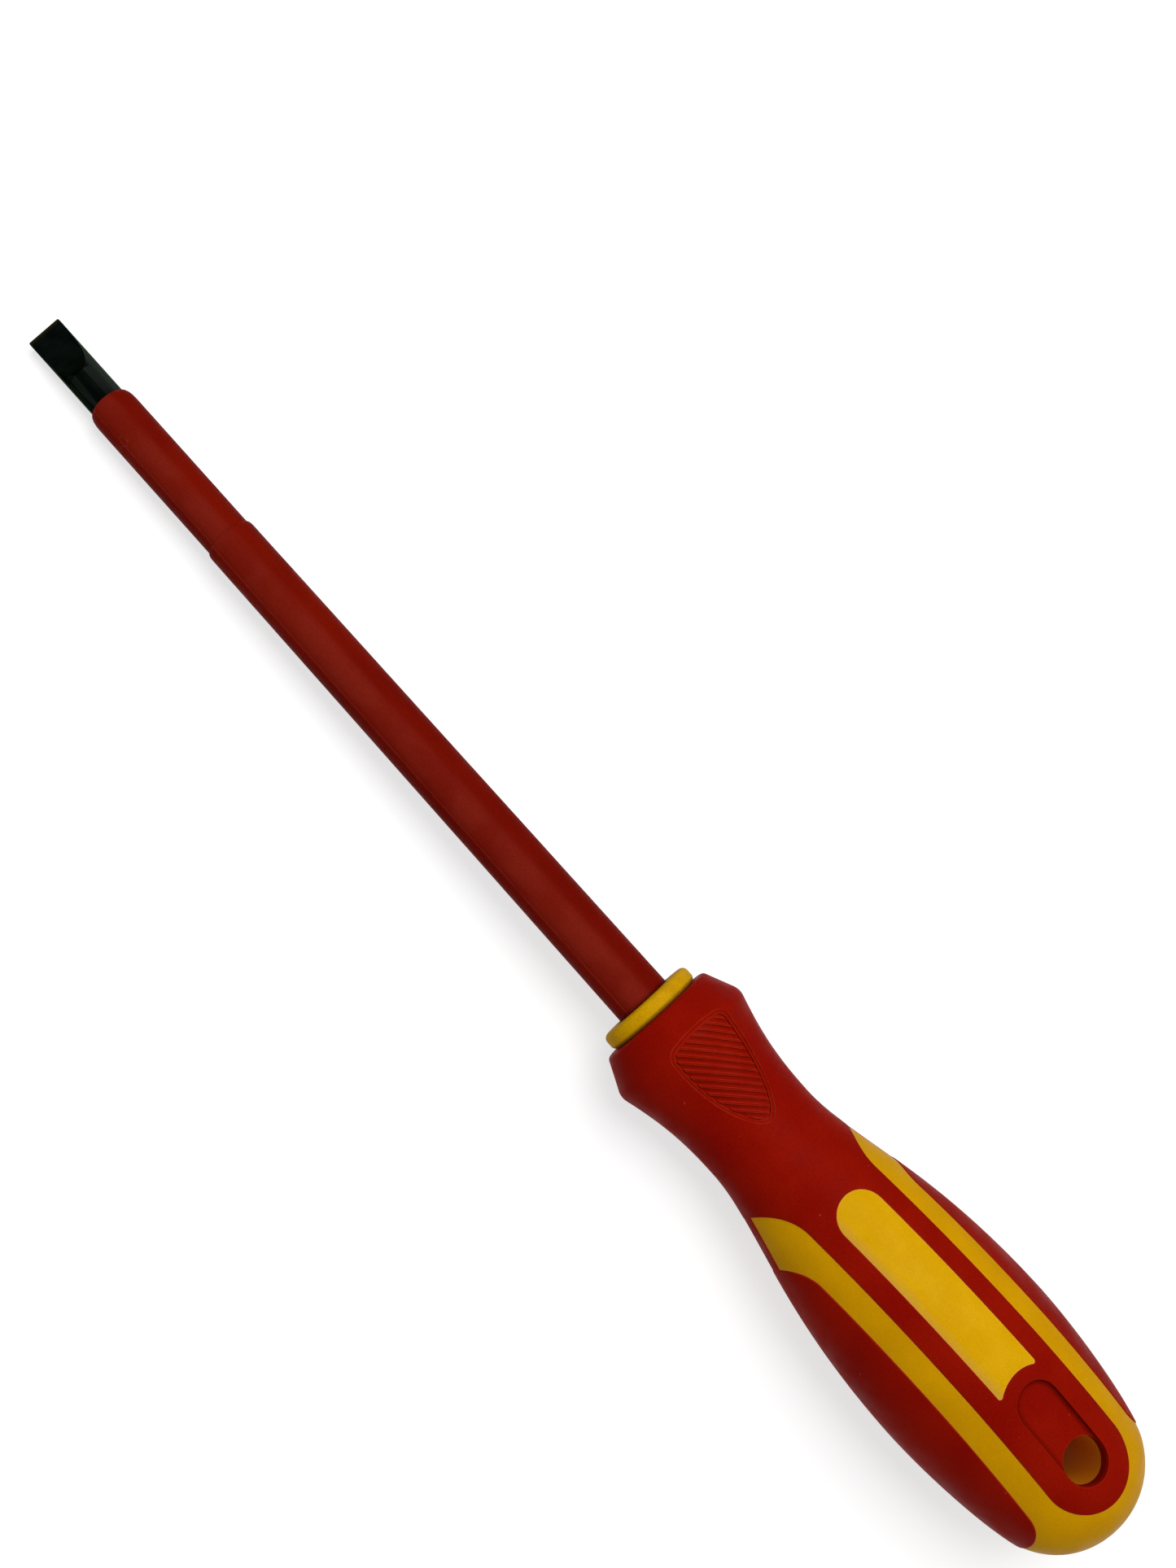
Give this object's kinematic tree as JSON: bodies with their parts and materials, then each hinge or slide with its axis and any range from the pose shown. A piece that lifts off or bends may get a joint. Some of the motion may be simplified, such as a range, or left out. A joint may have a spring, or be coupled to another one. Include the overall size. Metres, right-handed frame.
{
  "type": "insulated screwdriver",
  "caption": "Slotted screwdriver with a stepped insulating sleeve on its blade, a waisted soft-grip handle, ribbed thumb pads, plain marking windows and a hanging hole.",
  "frame": {"origin": "middle of the blade tip's front edge, on the tool's axis", "axes": "+X along the tool from the blade tip to the end of the handle; +Z along the hanging hole, out of the marking window's side; Y across the window"},
  "size_m": [0.2578, 0.0328, 0.0328],
  "materials": {
    "blade_steel": "blackened tool steel, fine grinding marks on the tip's faces",
    "sleeve_red": "moulded insulating polymer, slightly satin",
    "core_yellow": "fibre-filled hard polymer, faintly grainy",
    "body_yellow": "smooth hard polymer",
    "grip_red": "soft matte elastomer with a fine grain"
  },
  "bodies": {
    "root": {"blade": "blade_steel", "blade_sleeve_inner": "sleeve_red", "blade_sleeve_outer": "sleeve_red", "handle_core": "core_yellow", "handle_body": "body_yellow", "handle_grip": "grip_red"}
  },
  "joints": []
}
